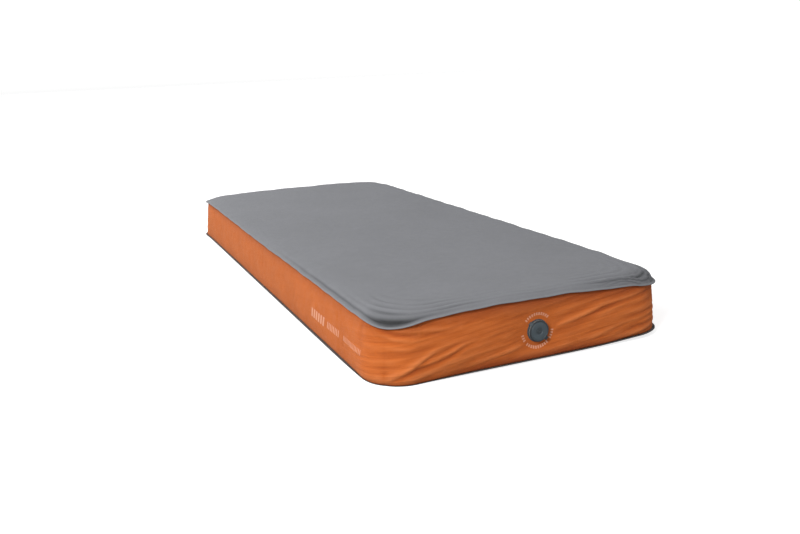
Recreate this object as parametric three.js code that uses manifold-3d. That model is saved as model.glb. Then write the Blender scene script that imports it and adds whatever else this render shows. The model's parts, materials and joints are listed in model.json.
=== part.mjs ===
// A thick self-inflating sleeping mat: a foam core glued between two fabric sheets, a wall strip
// round it, and a flip-cap valve in the foot end.
// Millimetres. The origin is on the floor under the middle of the mat; +X runs across the mat,
// +Y towards the head end, +Z up.
import * as THREE from 'three';
import { mergeVertices } from 'three/addons/utils/BufferGeometryUtils.js';
import Module from 'manifold-3d';

const wasm = await Module();
wasm.setup();

// Mat
const MAT_LENGTH = 2000; // over the weld lips
const MAT_WIDTH = 790; // over the weld lips
const MAT_HEIGHT = 156; // floor to crown
const LIP = 10; // how far a sheet's welded edge stands out past the wall
const LIP_CORNER_RADIUS = 100;
const RIM_HEIGHT = 140; // top seam along the long sides
const END_RISE = 13; // how much higher the top seam is in the middle of an end
const CORNER_DROP = 16; // how much lower the top seam is at a corner
const CORNER_SPREAD = 120; // how far along the seam a corner pulls it down
const CROWN_RUN = 40; // how quickly the top rises in from the seam
const SHEET = 1.2; // fabric thickness
const GAP = 0.3; // between pieces that touch
const JOIN_TAPE_WIDTH = 24;
const JOIN_TAPE_THICKNESS = 0.8;
const JOIN_TAPE_MARGIN = 10; // from the tape's ends to the seams

// Valve. Heights are measured outwards from the wall's outer face.
const VALVE_HEIGHT = 71; // valve axis above the floor
const VALVE_SIDE = 11; // valve axis to the right of the middle of the end
const TAB_TURN = -Math.PI / 4; // the pull tab points down to the right
const POCKET_RADIUS = 45; // hollow in the foam behind the valve
const POCKET_DEPTH = 30;
const WALL_HOLE_RADIUS = 24.4;
const NECK_BORE = 20.5;
const NECK_RADIUS = 24;
const FLANGE_RADIUS = 42;
const FLANGE_THICKNESS = 1.4;
const COLLAR_RADIUS = 25.3;
const COLLAR_BOTTOM = 2.5;
const COLLAR_TOP = 4.2;
const GASKET_THICKNESS = 0.8;
const BODY_BORE = 17.6;
const BODY_RADIUS = NECK_BORE - GAP;
const BODY_BOTTOM = -19;
const BODY_RIM_THICKNESS = 1;
const LEDGE_BORE = 15.9;
const LEDGE_TOP = -9;
const LEDGE_THICKNESS = 1.6;
const INSERT_HEIGHT = 6.7;
const INSERT_BORE = 13.6;
const SPIDER_THICKNESS = 1.5;
const HUB_RADIUS = 4;
const STEM_RADIUS = 1.6;
const STEM_HEAD_RADIUS = 3.6;
const STEM_HEAD_TOP = 0.2;
const STEM_HEAD_THICKNESS = 1.2;
const FLAP_RADIUS = 15.2;
const FLAP_THICKNESS = 1.2;
const SEAL_SECTION = 1; // height of a seal ring
const SEAL_DEPTH = 1.4; // radial width of the insert's seal ring
const CAP_RADIUS = 25.5;
const CAP_TOP = 9.9;
const CAP_BOTTOM = 6.9;
const CAP_RECESS_RADIUS = 7.5;
const CAP_RECESS_DEPTH = 1;
const PLUG_RADIUS = 16.9;
const PLUG_BORE = 13.2;
const PLUG_BOTTOM = 1.2;
const STRAP_WIDTH = 10;
const HINGE_OFFSET = 29.5; // strap's bend line from the valve axis

const VALVE_SEGMENTS = 32;
const SMALL_SEGMENTS = 16;

const wallHalfWidth = MAT_WIDTH / 2 - LIP;
const wallHalfLength = MAT_LENGTH / 2 - LIP;
const wallCornerRadius = LIP_CORNER_RADIUS - LIP;

const FABRIC_TOP = { color: 0x8c8e92, roughness: 0.9, metalness: 0 };
const FABRIC_WALL = { color: 0xcc7b4b, roughness: 0.85, metalness: 0 };
const FABRIC_BASE = { color: 0x2b2624, roughness: 0.9, metalness: 0 };
const FOAM = { color: 0xd8d2bd, roughness: 1, metalness: 0 };
const TPU = { color: 0x3b444a, roughness: 0.55, metalness: 0 };
const NYLON = { color: 0x41484d, roughness: 0.45, metalness: 0 };
const SILICONE = { color: 0x8f8a84, roughness: 0.5, metalness: 0 };
const STEEL = { color: 0xb9bcbf, roughness: 0.3, metalness: 1 };

function part(name, geometry, finish) {
  const mesh = new THREE.Mesh(geometry, new THREE.MeshStandardMaterial(finish));
  mesh.name = name;
  return mesh;
}

function solidOf(geometry) {
  const bare = geometry.clone();
  bare.deleteAttribute('normal');
  bare.deleteAttribute('uv');
  const merged = mergeVertices(bare, 1e-4);
  return new wasm.Manifold(new wasm.Mesh({
    numProp: 3,
    vertProperties: merged.attributes.position.array,
    triVerts: new Uint32Array(merged.index.array),
  }));
}

function geometryOf(solid) {
  const mesh = solid.getMesh();
  const geometry = new THREE.BufferGeometry();
  geometry.setAttribute('position', new THREE.BufferAttribute(mesh.vertProperties, 3));
  geometry.setIndex(new THREE.BufferAttribute(mesh.triVerts, 1));
  geometry.computeVertexNormals();
  return geometry;
}

function joined(first, ...others) {
  return geometryOf(others.reduce((solid, other) => solid.add(solidOf(other)), solidOf(first)));
}

function cutBy(first, ...tools) {
  return geometryOf(tools.reduce((solid, tool) => solid.subtract(solidOf(tool)), solidOf(first)));
}

// A triangle mesh from quads and fans of Vector3 corners.
function meshFrom(triangles) {
  const geometry = new THREE.BufferGeometry().setFromPoints(triangles.flat());
  const merged = mergeVertices(geometry, 1e-4);
  merged.computeVertexNormals();
  return merged;
}

function quad(a, b, c, d) {
  return [[a, b, c], [a, c, d]];
}

// Points along a straight side, closer together near its ends, without the end points.
function straightPoints(start, end, steps) {
  const points = [];
  for (let k = 1; k < steps; k += 1) {
    const t = (1 - Math.cos((Math.PI * k) / steps)) / 2;
    points.push(new THREE.Vector2().lerpVectors(start, end, t));
  }
  return points;
}

// A rounded rectangle seen from above, anticlockwise from the middle of the head end. Every
// outline has the same number of points, so that outlines of two sizes can be joined.
function roundedOutline(halfWidth, halfLength, radius) {
  const cornerSteps = 8;
  const shortSteps = 6;
  const longSteps = 8;
  const signs = [[1, 1], [-1, 1], [-1, -1], [1, -1]];
  const corners = signs.map(([sx, sy], q) => {
    const centre = new THREE.Vector2(sx * (halfWidth - radius), sy * (halfLength - radius));
    return Array.from({ length: cornerSteps + 1 }, (_, k) => {
      const angle = (q + k / cornerSteps) * (Math.PI / 2);
      const towards = new THREE.Vector2(Math.cos(angle), Math.sin(angle));
      return centre.clone().addScaledVector(towards, radius);
    });
  });
  const loop = corners.flatMap((corner, q) => {
    const next = corners[(q + 1) % 4][0];
    return [...corner, ...straightPoints(corner.at(-1), next, q % 2 ? longSteps : shortSteps)];
  });
  const middleOfHead = cornerSteps + shortSteps / 2;
  return [...loop.slice(middleOfHead), ...loop.slice(0, middleOfHead)];
}

// The outline of the wall's outer face, moved in by inset.
function wallOutline(inset) {
  const leastRadius = 8;
  const radius = Math.max(wallCornerRadius - inset, leastRadius);
  return roundedOutline(wallHalfWidth - inset, wallHalfLength - inset, radius);
}

// Height of the top seam at each point of an outline: level along the long sides, arched over
// the ends and lower at the corners.
const rimHeights = wallOutline(0).map((point) => {
  const shy = wallCornerRadius * (1 - Math.SQRT1_2);
  const fromCorner = Math.hypot(
    Math.abs(point.x) - (wallHalfWidth - shy),
    Math.abs(point.y) - (wallHalfLength - shy),
  );
  const arch = END_RISE * (1 - (point.x / wallHalfWidth) ** 4);
  return RIM_HEIGHT + arch - CORNER_DROP * Math.exp(-((fromCorner / CORNER_SPREAD) ** 2));
});

const CROWN_INSETS = [15, 35, 65, 110, 180];

// Share of the rise from seam to crown that the top has reached this far in from the wall.
function crownShare(inset) {
  const rise = (distance) => 1 - Math.exp(-distance / CROWN_RUN);
  return Math.min(rise(Math.max(inset, 0)) / rise(CROWN_INSETS.at(-1)), 1);
}

// One ring of the crowned top, moved in from the wall and down from the top surface.
function crownRing(inset, below) {
  return wallOutline(inset).map((point, i) => {
    const height = rimHeights[i] + (MAT_HEIGHT - rimHeights[i]) * crownShare(inset);
    return new THREE.Vector3(point.x, point.y, height - below);
  });
}

function flatRing(inset, height) {
  return wallOutline(inset).map((point) => new THREE.Vector3(point.x, point.y, height));
}

// A closed solid from rings, first to last going round the outside from its lower middle to its
// upper middle. The first and last rings are closed by flat fans. The first undersideSteps bands
// are split along the other diagonal, so that an underside lies parallel to the top over it.
function lofted(rings, undersideSteps = 0) {
  const triangles = [];
  const count = rings[0].length;
  const middle = (ring) => new THREE.Vector3(0, 0, ring[0].z);
  for (let i = 0; i < count; i += 1) {
    const j = (i + 1) % count;
    triangles.push([middle(rings[0]), rings[0][j], rings[0][i]]);
    triangles.push([middle(rings.at(-1)), rings.at(-1)[i], rings.at(-1)[j]]);
    for (let k = 0; k + 1 < rings.length; k += 1) {
      const [low, high] = [rings[k], rings[k + 1]];
      const band = k < undersideSteps
        ? quad(low[j], high[j], high[i], low[i])
        : quad(low[i], low[j], high[j], high[i]);
      triangles.push(...band);
    }
  }
  return meshFrom(triangles);
}

function topSheet() {
  const insets = [-LIP, 0, SHEET + GAP, ...CROWN_INSETS];
  const under = insets.map((inset) => crownRing(inset, SHEET)).reverse();
  const over = insets.map((inset) => crownRing(inset, 0));
  return lofted([...under, ...over], under.length - 1);
}

function baseSheet() {
  return lofted([flatRing(-LIP, 0), flatRing(-LIP, SHEET)]);
}

// The block fills the skin. A round pocket in its foot end leaves room for the valve.
function foamCore() {
  const inset = SHEET + GAP;
  const below = SHEET + GAP;
  const rings = [inset, ...CROWN_INSETS].map((step) => crownRing(step, below));
  const pocketLength = POCKET_DEPTH * 2;
  const pocket = new THREE.CylinderGeometry(
    POCKET_RADIUS, POCKET_RADIUS, pocketLength, VALVE_SEGMENTS,
  );
  pocket.translate(VALVE_SIDE, -wallHalfLength, VALVE_HEIGHT);
  return cutBy(lofted([flatRing(inset, below), ...rings]), pocket);
}

// A strip of the wall's thickness that goes once round the mat, its two ends meeting in the
// middle of the head end, with a round hole for the valve in its foot end.
function sideWall() {
  const outer = wallOutline(0);
  const inner = wallOutline(SHEET);
  const order = [...outer.keys(), 0];
  const sections = order.map((i, step) => {
    const end = step === 0 ? -GAP / 2 : GAP / 2;
    const atEnd = step === 0 || step === order.length - 1;
    const corner = (point, z) => new THREE.Vector3(atEnd ? end : point.x, point.y, z);
    const top = rimHeights[i] - SHEET - GAP;
    return [
      corner(outer[i], SHEET + GAP),
      corner(outer[i], top),
      corner(inner[i], top),
      corner(inner[i], SHEET + GAP),
    ];
  });
  const triangles = [...quad(...sections[0]), ...quad(...[...sections.at(-1)].reverse())];
  for (let s = 0; s + 1 < sections.length; s += 1) {
    const [near, far] = [sections[s], sections[s + 1]];
    for (let k = 0; k < 4; k += 1) {
      const n = (k + 1) % 4;
      triangles.push(...quad(near[k], far[k], far[n], near[n]));
    }
  }
  const hole = new THREE.CylinderGeometry(
    WALL_HOLE_RADIUS, WALL_HOLE_RADIUS, LIP * 2, VALVE_SEGMENTS,
  );
  hole.translate(VALVE_SIDE, -wallHalfLength, VALVE_HEIGHT);
  return cutBy(meshFrom(triangles), hole);
}

function wallJoinTape() {
  const height = RIM_HEIGHT - 2 * JOIN_TAPE_MARGIN;
  const tape = new THREE.BoxGeometry(JOIN_TAPE_WIDTH, JOIN_TAPE_THICKNESS, height);
  const y = wallHalfLength + GAP + JOIN_TAPE_THICKNESS / 2;
  return tape.translate(0, y, JOIN_TAPE_MARGIN + height / 2);
}

// A turned solid. The profile lists [radius, height] pairs with the solid on their left, so it
// goes up on the outside. The axis is +Z.
function turned(profile, segments = VALVE_SEGMENTS) {
  const points = profile.map(([radius, height]) => new THREE.Vector2(radius, height));
  const geometry = new THREE.LatheGeometry(points, segments);
  return mergeVertices(geometry, 1e-4).rotateX(Math.PI / 2);
}

function turnedRing(inner, outer, bottom, top, segments = VALVE_SEGMENTS) {
  return turned(
    [[inner, bottom], [outer, bottom], [outer, top], [inner, top], [inner, bottom]],
    segments,
  );
}

function block(width, depth, bottom, top, x) {
  return new THREE.BoxGeometry(width, depth, top - bottom).translate(x, 0, (top + bottom) / 2);
}

function valveBase() {
  const flangeTop = -SHEET - GAP;
  const flangeBottom = flangeTop - FLANGE_THICKNESS;
  return turned([
    [NECK_BORE, flangeBottom],
    [FLANGE_RADIUS, flangeBottom],
    [FLANGE_RADIUS, flangeTop],
    [NECK_RADIUS, flangeTop],
    [NECK_RADIUS, COLLAR_BOTTOM],
    [COLLAR_RADIUS, COLLAR_BOTTOM],
    [COLLAR_RADIUS, COLLAR_TOP],
    [NECK_BORE, COLLAR_TOP],
    [NECK_BORE, flangeBottom],
  ]);
}

const RING_BOTTOM = 0.4;
const RING_TOP = COLLAR_BOTTOM - GAP;
const RING_OUTER = 27.2;

function strapRing() {
  const lugLength = HINGE_OFFSET - NECK_RADIUS - 1;
  const lug = block(lugLength, STRAP_WIDTH, RING_BOTTOM, RING_TOP, lugLength / 2 - HINGE_OFFSET);
  return joined(turnedRing(NECK_RADIUS + GAP, RING_OUTER, RING_BOTTOM, RING_TOP), lug);
}

const GASKET_BOTTOM = COLLAR_TOP + GAP;
const BODY_RIM_BOTTOM = GASKET_BOTTOM + GASKET_THICKNESS + GAP;
const BODY_RIM_TOP = BODY_RIM_BOTTOM + BODY_RIM_THICKNESS;
const BODY_RIM_RADIUS = 25;

function bodyGasket() {
  return turnedRing(NECK_BORE, BODY_RIM_RADIUS, GASKET_BOTTOM, GASKET_BOTTOM + GASKET_THICKNESS);
}

function valveBody() {
  return turned([
    [BODY_BORE, BODY_BOTTOM],
    [BODY_RADIUS, BODY_BOTTOM],
    [BODY_RADIUS, BODY_RIM_BOTTOM],
    [BODY_RIM_RADIUS, BODY_RIM_BOTTOM],
    [BODY_RIM_RADIUS, BODY_RIM_TOP],
    [BODY_BORE, BODY_RIM_TOP],
    [BODY_BORE, LEDGE_TOP],
    [LEDGE_BORE, LEDGE_TOP],
    [LEDGE_BORE, LEDGE_TOP - LEDGE_THICKNESS],
    [BODY_BORE, LEDGE_TOP - LEDGE_THICKNESS],
    [BODY_BORE, BODY_BOTTOM],
  ]);
}

// A disc with a ring of air holes, held in the inner end of the body.
function valveGuard() {
  const thickness = 1.4;
  const holeRadius = 3.6;
  const holeCircle = 10.5;
  const holeCount = 6;
  const bottom = BODY_BOTTOM + GAP;
  const holes = Array.from({ length: holeCount }, (_, k) => {
    const angle = (k / holeCount) * Math.PI * 2;
    const hole = turned(
      [[0, bottom - 1], [holeRadius, bottom - 1], [holeRadius, bottom + 3], [0, bottom + 3]],
      SMALL_SEGMENTS,
    );
    return hole.translate(holeCircle * Math.cos(angle), holeCircle * Math.sin(angle), 0);
  });
  const radius = BODY_BORE - GAP;
  const top = bottom + thickness;
  const disc = turned([[0, bottom], [radius, bottom], [radius, top], [0, top]]);
  return cutBy(disc, ...holes);
}

const INSERT_BOTTOM = LEDGE_TOP + GAP;
const INSERT_TOP = INSERT_BOTTOM + INSERT_HEIGHT;
const INSERT_RADIUS = BODY_BORE - GAP;
const INSERT_SEAL_BOTTOM = INSERT_BOTTOM + 2.8;
const INSERT_SEAL_BORE = INSERT_RADIUS - SEAL_DEPTH;

// A grooved ring with four spokes to a bored hub, and two finger lugs on its outer face.
function valveInsert() {
  const groove = INSERT_SEAL_BORE - GAP;
  const grooveBottom = INSERT_SEAL_BOTTOM - GAP;
  const grooveTop = INSERT_SEAL_BOTTOM + SEAL_SECTION + GAP;
  const spokeWidth = 2.4;
  const spiderTop = INSERT_BOTTOM + SPIDER_THICKNESS;
  const lugHeight = 2.6;
  const lugLength = 7;
  const lugWidth = 2.4;
  const ring = turned([
    [INSERT_BORE, INSERT_BOTTOM],
    [INSERT_RADIUS, INSERT_BOTTOM],
    [INSERT_RADIUS, grooveBottom],
    [groove, grooveBottom],
    [groove, grooveTop],
    [INSERT_RADIUS, grooveTop],
    [INSERT_RADIUS, INSERT_TOP],
    [INSERT_BORE, INSERT_TOP],
    [INSERT_BORE, INSERT_BOTTOM],
  ]);
  const span = 2 * INSERT_BORE + 1;
  const spoke = block(span, spokeWidth, INSERT_BOTTOM, spiderTop, 0);
  const crossSpoke = block(spokeWidth, span, INSERT_BOTTOM, spiderTop, 0);
  const hub = turned(
    [[0, INSERT_BOTTOM], [HUB_RADIUS, INSERT_BOTTOM], [HUB_RADIUS, spiderTop], [0, spiderTop]],
    SMALL_SEGMENTS,
  );
  const boreRadius = STEM_RADIUS + GAP;
  const boreSpan = [INSERT_BOTTOM - 1, spiderTop + 1];
  const bore = turned(
    [[0, boreSpan[0]], [boreRadius, boreSpan[0]], [boreRadius, boreSpan[1]], [0, boreSpan[1]]],
    SMALL_SEGMENTS,
  );
  const lugX = (INSERT_BORE + INSERT_RADIUS) / 2;
  const lugTop = INSERT_TOP + lugHeight;
  const lugs = [-lugX, lugX].map((x) => block(lugWidth, lugLength, INSERT_TOP - 1, lugTop, x));
  return cutBy(joined(ring, spoke, crossSpoke, hub, ...lugs), bore);
}

function insertSeal() {
  const top = INSERT_SEAL_BOTTOM + SEAL_SECTION;
  return turnedRing(INSERT_SEAL_BORE, INSERT_RADIUS, INSERT_SEAL_BOTTOM, top);
}

const FLAP_TOP = INSERT_BOTTOM - GAP;
const RETAINER_TOP = FLAP_TOP - FLAP_THICKNESS - GAP;
const RETAINER_THICKNESS = 1.2;
const STEM_HEAD_BOTTOM = STEM_HEAD_TOP - STEM_HEAD_THICKNESS;

function checkFlap() {
  return turnedRing(STEM_RADIUS + GAP, FLAP_RADIUS, FLAP_TOP - FLAP_THICKNESS, FLAP_TOP);
}

function flapRetainer() {
  const bottom = RETAINER_TOP - RETAINER_THICKNESS;
  return turnedRing(STEM_RADIUS + GAP, STEM_HEAD_RADIUS, bottom, RETAINER_TOP, SMALL_SEGMENTS);
}

function flapStem() {
  const bottom = RETAINER_TOP - RETAINER_THICKNESS - 0.5;
  return turned(
    [
      [0, bottom],
      [STEM_RADIUS, bottom],
      [STEM_RADIUS, STEM_HEAD_BOTTOM],
      [STEM_HEAD_RADIUS, STEM_HEAD_BOTTOM],
      [STEM_HEAD_RADIUS, STEM_HEAD_TOP],
      [0, STEM_HEAD_TOP],
    ],
    SMALL_SEGMENTS,
  );
}

const SPRING_TURNS = 3;
const SPRING_RADIUS = 2.6;
const SPRING_WIRE = 0.35; // wire radius

class Helix extends THREE.Curve {
  constructor(bottom, top) {
    super();
    this.bottom = bottom;
    this.top = top;
  }

  getPoint(t, target = new THREE.Vector3()) {
    const angle = t * SPRING_TURNS * Math.PI * 2;
    const height = this.bottom + (this.top - this.bottom) * t;
    return target.set(SPRING_RADIUS * Math.cos(angle), SPRING_RADIUS * Math.sin(angle), height);
  }
}

function flapSpring() {
  const clearance = GAP + SPRING_WIRE + 0.1;
  const bottom = INSERT_BOTTOM + SPIDER_THICKNESS + clearance;
  const sides = 6;
  const wire = new THREE.Shape(Array.from({ length: sides }, (_, k) => {
    const angle = (k / sides) * Math.PI * 2;
    return new THREE.Vector2(SPRING_WIRE * Math.cos(angle), SPRING_WIRE * Math.sin(angle));
  }));
  return new THREE.ExtrudeGeometry(wire, {
    steps: SPRING_TURNS * 12,
    bevelEnabled: false,
    extrudePath: new Helix(bottom, STEM_HEAD_BOTTOM - clearance),
  });
}

const CAP_SEAL_BOTTOM = 3.3;
const CAP_SEAL_BORE = 15.7;

// A disc with a hollow plug below it, a shallow recess in its face and a pull tab on its edge.
function cap() {
  const bevel = 0.8;
  const groove = CAP_SEAL_BORE - GAP;
  const grooveBottom = CAP_SEAL_BOTTOM - GAP;
  const grooveTop = CAP_SEAL_BOTTOM + SEAL_SECTION + GAP;
  const ceiling = CAP_BOTTOM + GAP;
  const disc = turned([
    [0, ceiling],
    [PLUG_BORE, ceiling],
    [PLUG_BORE, PLUG_BOTTOM],
    [PLUG_RADIUS, PLUG_BOTTOM],
    [PLUG_RADIUS, grooveBottom],
    [groove, grooveBottom],
    [groove, grooveTop],
    [PLUG_RADIUS, grooveTop],
    [PLUG_RADIUS, CAP_BOTTOM],
    [CAP_RADIUS - bevel, CAP_BOTTOM],
    [CAP_RADIUS, CAP_BOTTOM + bevel],
    [CAP_RADIUS, CAP_TOP - bevel],
    [CAP_RADIUS - bevel, CAP_TOP],
    [CAP_RECESS_RADIUS, CAP_TOP],
    [CAP_RECESS_RADIUS, CAP_TOP - CAP_RECESS_DEPTH],
    [0, CAP_TOP - CAP_RECESS_DEPTH],
  ]);
  const tabReach = 6;
  const tabLength = tabReach + 2;
  const tabMiddle = CAP_RADIUS + tabReach - tabLength / 2;
  const tab = block(tabLength, STRAP_WIDTH, CAP_BOTTOM + 0.2, CAP_TOP - bevel, tabMiddle);
  return joined(disc, tab);
}

function capSeal() {
  const outer = BODY_BORE - GAP;
  return turnedRing(CAP_SEAL_BORE, outer, CAP_SEAL_BOTTOM, CAP_SEAL_BOTTOM + SEAL_SECTION);
}

function capStrap() {
  const thickness = 1.4;
  const length = HINGE_OFFSET - CAP_RADIUS - 2 * GAP;
  const bottom = CAP_BOTTOM + 0.1;
  return block(length, STRAP_WIDTH, bottom, bottom + thickness, -CAP_RADIUS - GAP - length / 2);
}

// The valve in its own frame: +Z out of the wall, +X towards the pull tab.
function valve() {
  const group = new THREE.Group();
  group.add(
    part('valve_base', valveBase(), TPU),
    part('strap_ring', strapRing(), TPU),
    part('body_gasket', bodyGasket(), SILICONE),
    part('valve_body', valveBody(), NYLON),
    part('valve_guard', valveGuard(), NYLON),
    part('valve_insert', valveInsert(), NYLON),
    part('insert_seal', insertSeal(), SILICONE),
    part('check_flap', checkFlap(), SILICONE),
    part('flap_retainer', flapRetainer(), NYLON),
    part('flap_stem', flapStem(), NYLON),
    part('flap_spring', flapSpring(), STEEL),
    part('cap', cap(), TPU),
    part('cap_seal', capSeal(), SILICONE),
    part('cap_strap', capStrap(), TPU),
  );
  const outwards = new THREE.Vector3(0, -1, 0);
  const toTab = new THREE.Vector3(Math.cos(TAB_TURN), 0, Math.sin(TAB_TURN));
  const across = outwards.clone().cross(toTab);
  group.setRotationFromMatrix(new THREE.Matrix4().makeBasis(toTab, across, outwards));
  group.position.set(VALVE_SIDE, -wallHalfLength, VALVE_HEIGHT);
  return group;
}

const mat = new THREE.Group();
mat.add(
  part('top_sheet', topSheet(), FABRIC_TOP),
  part('base_sheet', baseSheet(), FABRIC_BASE),
  part('side_wall', sideWall(), FABRIC_WALL),
  part('wall_join_tape', wallJoinTape(), FABRIC_WALL),
  part('foam_core', foamCore(), FOAM),
  valve(),
);

export default mat;
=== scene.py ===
import json
import math
from functools import partial, reduce

import bmesh
import bpy
import numpy as np
from mathutils import Matrix, Vector

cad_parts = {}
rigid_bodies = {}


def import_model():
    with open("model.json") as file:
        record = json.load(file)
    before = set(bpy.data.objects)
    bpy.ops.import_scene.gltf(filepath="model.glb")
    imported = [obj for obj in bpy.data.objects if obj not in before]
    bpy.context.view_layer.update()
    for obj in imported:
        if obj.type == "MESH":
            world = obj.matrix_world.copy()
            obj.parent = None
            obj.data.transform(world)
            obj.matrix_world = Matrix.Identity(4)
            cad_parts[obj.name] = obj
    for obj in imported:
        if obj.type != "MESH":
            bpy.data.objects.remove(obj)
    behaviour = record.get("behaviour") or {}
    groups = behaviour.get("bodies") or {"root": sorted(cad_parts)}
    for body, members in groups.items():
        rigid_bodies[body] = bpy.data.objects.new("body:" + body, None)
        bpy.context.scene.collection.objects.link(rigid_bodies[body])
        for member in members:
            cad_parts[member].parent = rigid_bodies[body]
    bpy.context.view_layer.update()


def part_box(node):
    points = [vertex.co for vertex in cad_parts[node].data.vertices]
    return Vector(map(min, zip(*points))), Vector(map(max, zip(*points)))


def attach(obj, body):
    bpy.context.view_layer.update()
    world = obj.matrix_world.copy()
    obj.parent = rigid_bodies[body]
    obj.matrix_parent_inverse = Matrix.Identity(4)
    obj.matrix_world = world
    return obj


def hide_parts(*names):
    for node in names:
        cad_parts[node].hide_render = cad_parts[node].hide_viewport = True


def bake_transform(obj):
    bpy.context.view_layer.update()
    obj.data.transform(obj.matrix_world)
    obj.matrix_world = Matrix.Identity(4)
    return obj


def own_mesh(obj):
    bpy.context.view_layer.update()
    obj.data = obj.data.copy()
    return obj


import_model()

MM = 0.001
CM = 0.01

# ---- sizes from the frame
_, lip_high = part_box("top_sheet")
wall_low, wall_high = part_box("side_wall")
body_low, body_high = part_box("valve_body")

HALF_WIDTH = wall_high.x
HALF_LENGTH = wall_high.y
CORNER = 90 * MM  # plan radius of the wall's corners
CROWN = lip_high.z
VALVE = Vector(((body_low.x + body_high.x) / 2, wall_low.y, (body_low.z + body_high.z) / 2))
TAB_TURN = math.radians(-45)  # the cap's pull tab points down to the right
FABRIC = 1.2 * MM

# Columns round the mat: half an end, a corner, a long side, a corner, an end and so on.
FOOT_COLUMNS = 230
HEAD_COLUMNS = 130
CORNER_COLUMNS = 44
SIDE_COLUMNS = 290


# ---- camera, light and floor
def camera():
    yaw, pitch, roll = (math.radians(angle) for angle in (22.9, -14.3, -2.34))
    data = bpy.data.cameras.new("camera")
    data.lens = 36.9
    data.sensor_width = 36
    data.clip_end = 100
    item = add_object("camera", data)
    item.matrix_world = (
        Matrix.Translation((-0.973, -2.522, 0.692)) @ Matrix.Rotation(-yaw, 4, "Z")
        @ Matrix.Rotation(math.pi / 2 + pitch, 4, "X") @ Matrix.Rotation(roll, 4, "Z")
    )
    bpy.context.scene.camera = item


def area_light(name, place, aim, size, power):
    data = bpy.data.lights.new(name, "AREA")
    data.shape = "DISK"
    data.size = size
    data.energy = power
    item = add_object(name, data)
    item.location = place
    item.rotation_euler = (Vector(aim) - Vector(place)).to_track_quat("-Z", "Y").to_euler()


def studio():
    scene = bpy.context.scene
    scene.view_settings.view_transform = "Standard"
    world = bpy.data.worlds.new("studio")
    world.use_nodes = True
    nodes = Nodes(world.node_tree)
    background = nodes.tree.nodes["Background"].inputs
    # A white wall round the room, in a dimmer room.
    height = nodes.add("SeparateXYZ", {0: nodes.add("TexCoord").outputs["Generated"]}).outputs["Z"]
    below = nodes.remap(height, (0.36, 0.62), (0.78, 0), interpolation_type="SMOOTHSTEP")
    above = nodes.remap(height, (-0.08, 0), (0, 1), interpolation_type="SMOOTHSTEP")
    nodes.feed(background["Strength"], nodes.math("MULTIPLY_ADD", below, above, 0.32))
    nodes.feed(background["Color"], (1, 1, 1, 1))
    scene.world = world
    area_light("key", (-2.4, -2.6, 1.9), (0, -0.7, 0.1), 0.9, 112)
    area_light("fill", (-1.8, 2.2, 2.2), (0, 0.4, 0.1), 1.6, 80)
    corners = [(x * 30, y * 30, 0) for x, y in ((-1, -1), (1, -1), (1, 1), (-1, 1))]
    floor = mesh_object("floor", corners, [(0, 1, 2, 3)], floor_material())
    floor.location.z = -0.2 * MM
    floor.visible_diffuse = False
    floor.visible_glossy = False


# ---- meshes
def add_object(name, data):
    item = bpy.data.objects.new(name, data)
    bpy.context.scene.collection.objects.link(item)
    return item


def mesh_object(name, points, faces, material):
    mesh = bpy.data.meshes.new(name)
    mesh.from_pydata([tuple(p) for p in points], [], [tuple(f) for f in faces])
    mesh.update()
    mesh.shade_smooth()
    mesh.materials.append(material)
    return add_object(name, mesh)


def with_modifier(item, kind, **values):
    """Adds a modifier, applies it to the mesh and returns the object."""
    modifier = item.modifiers.new(kind, kind)
    for key, value in values.items():
        setattr(modifier, key, value)
    depsgraph = bpy.context.evaluated_depsgraph_get()
    mesh = bpy.data.meshes.new_from_object(item.evaluated_get(depsgraph))
    item.modifiers.clear()
    item.data = mesh
    return item


def read_points(mesh):
    places = np.zeros(3 * len(mesh.vertices), np.float32)
    mesh.vertices.foreach_get("co", places)
    return places.reshape(-1, 3).astype(float)


def outline(inset, radius):
    """Points and outward normals of the wall's outline moved in by inset, anticlockwise seen
    from above, from the middle of the head end. Every outline has the same columns."""
    a, b = HALF_WIDTH - inset - radius, HALF_LENGTH - inset - radius
    stops = np.array([(0, b), (-a, b), (-a, -b), (a, -b), (a, b), (0, b)])
    counts = [HEAD_COLUMNS // 2, SIDE_COLUMNS, FOOT_COLUMNS, SIDE_COLUMNS, HEAD_COLUMNS // 2]
    turns, centres = [], []
    for k, (start, end, columns) in enumerate(zip(stops, stops[1:], counts)):
        t = np.arange(columns)[:, None] / columns
        turns.append(np.full(columns, k + 1))
        centres.append(start * (1 - t) + end * t)
        if k < len(counts) - 1:
            turns.append(k + 1 + np.arange(CORNER_COLUMNS) / CORNER_COLUMNS)
            centres.append(np.repeat(end[None], CORNER_COLUMNS, 0))
    turns = np.concatenate(turns) * math.pi / 2
    normals = np.column_stack([np.cos(turns), np.sin(turns)])
    return np.concatenate(centres) + normals * radius, normals


def ring_faces(rings, columns):
    """Quads between rings of columns points, each ring above or inside the one before it."""
    k, i = np.meshgrid(np.arange(rings - 1), np.arange(columns), indexing="ij")
    j = (i + 1) % columns
    quads = [k * columns + i, k * columns + j, (k + 1) * columns + j, (k + 1) * columns + i]
    return np.stack(quads, -1).reshape(-1, 4).tolist()


def ramp(low, high, value):
    t = np.clip((value - low) / (high - low), 0, 1)
    return t * t * (3 - 2 * t)


def bump(value, centre, width):
    return np.exp(-(((value - centre) / width) ** 2))


def waves(s, seed, wavelengths, total):
    """A smooth wobble along the outline that closes on itself, about 1 high."""
    random = np.random.default_rng(seed)
    value = np.zeros_like(s)
    for wavelength in wavelengths:
        turns = max(1, round(total / wavelength))
        value += math.sqrt(2 / len(wavelengths)) * np.sin(
            math.tau * turns * s / total + random.uniform(0, math.tau)
        )
    return value


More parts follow.
